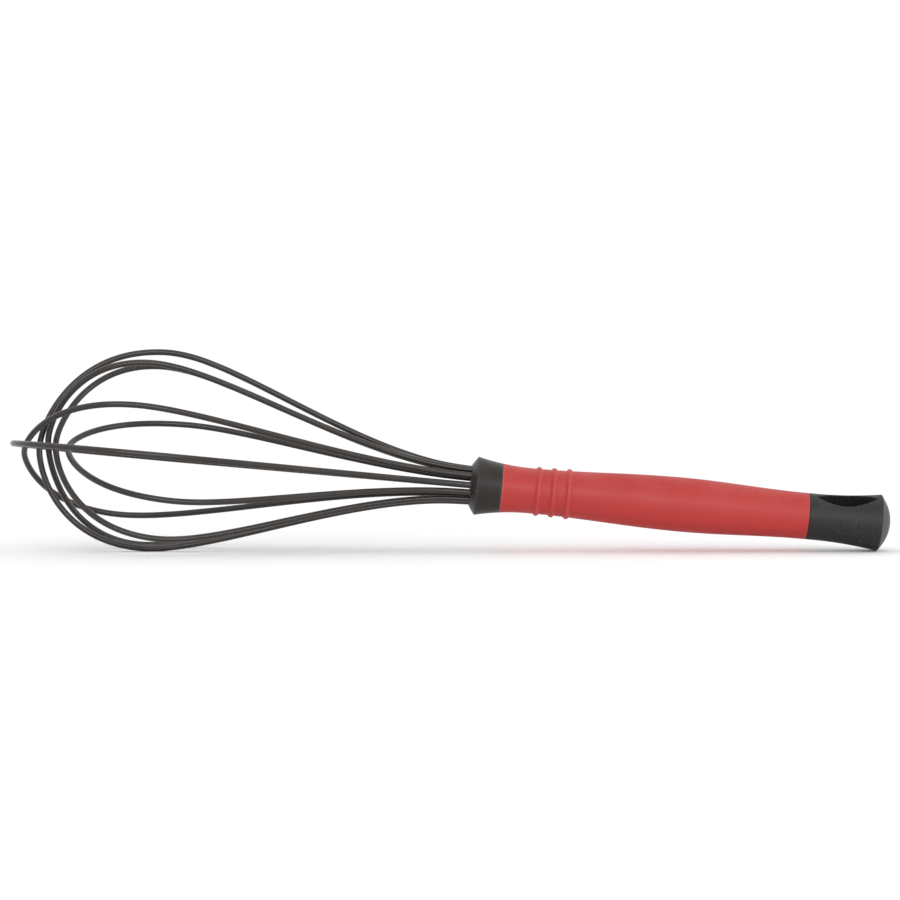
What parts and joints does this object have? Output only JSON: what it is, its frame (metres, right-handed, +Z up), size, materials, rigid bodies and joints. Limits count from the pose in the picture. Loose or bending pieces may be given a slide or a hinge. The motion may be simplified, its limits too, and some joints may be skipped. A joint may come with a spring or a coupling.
{
  "type": "balloon whisk",
  "caption": "Kitchen balloon whisk with nested coated wire loops, a ferrule collar, a soft ribbed grip and a flared end cap with a hanging slot.",
  "frame": {"origin": "centre of the bounding box's footprint, on the table that the whisk lies on", "axes": "+X from the front of the balloon towards the end of the handle, +Z up, +Y sideways; the whisk rests on two wires and on the rim of its end cap, so its own axis falls by about 5 degrees towards the handle's end"},
  "size_m": [0.3086, 0.072, 0.0705],
  "materials": {
    "wire_coating": "satin nylon coating",
    "spring_steel": "drawn spring steel wire",
    "holder_plastic": "moulded",
    "potting_resin": "cured resin",
    "collar_plastic": "satin moulded",
    "core_plastic": "moulded",
    "soft_grip": "satin soft grip",
    "cap_plastic": "fine bead-blasted moulding"
  },
  "bodies": {
    "root": {"wire_coat_1": "wire_coating", "wire_coat_2": "wire_coating", "wire_coat_3": "wire_coating", "wire_coat_4": "wire_coating", "wire_coat_5": "wire_coating", "wire_coat_6": "wire_coating", "steel_wire_1": "spring_steel", "steel_wire_2": "spring_steel", "steel_wire_3": "spring_steel", "steel_wire_4": "spring_steel", "steel_wire_5": "spring_steel", "steel_wire_6": "spring_steel", "wire_holder": "holder_plastic", "potting": "potting_resin", "collar": "collar_plastic", "handle_core": "core_plastic", "grip_sleeve": "soft_grip", "end_cap": "cap_plastic"}
  },
  "joints": []
}
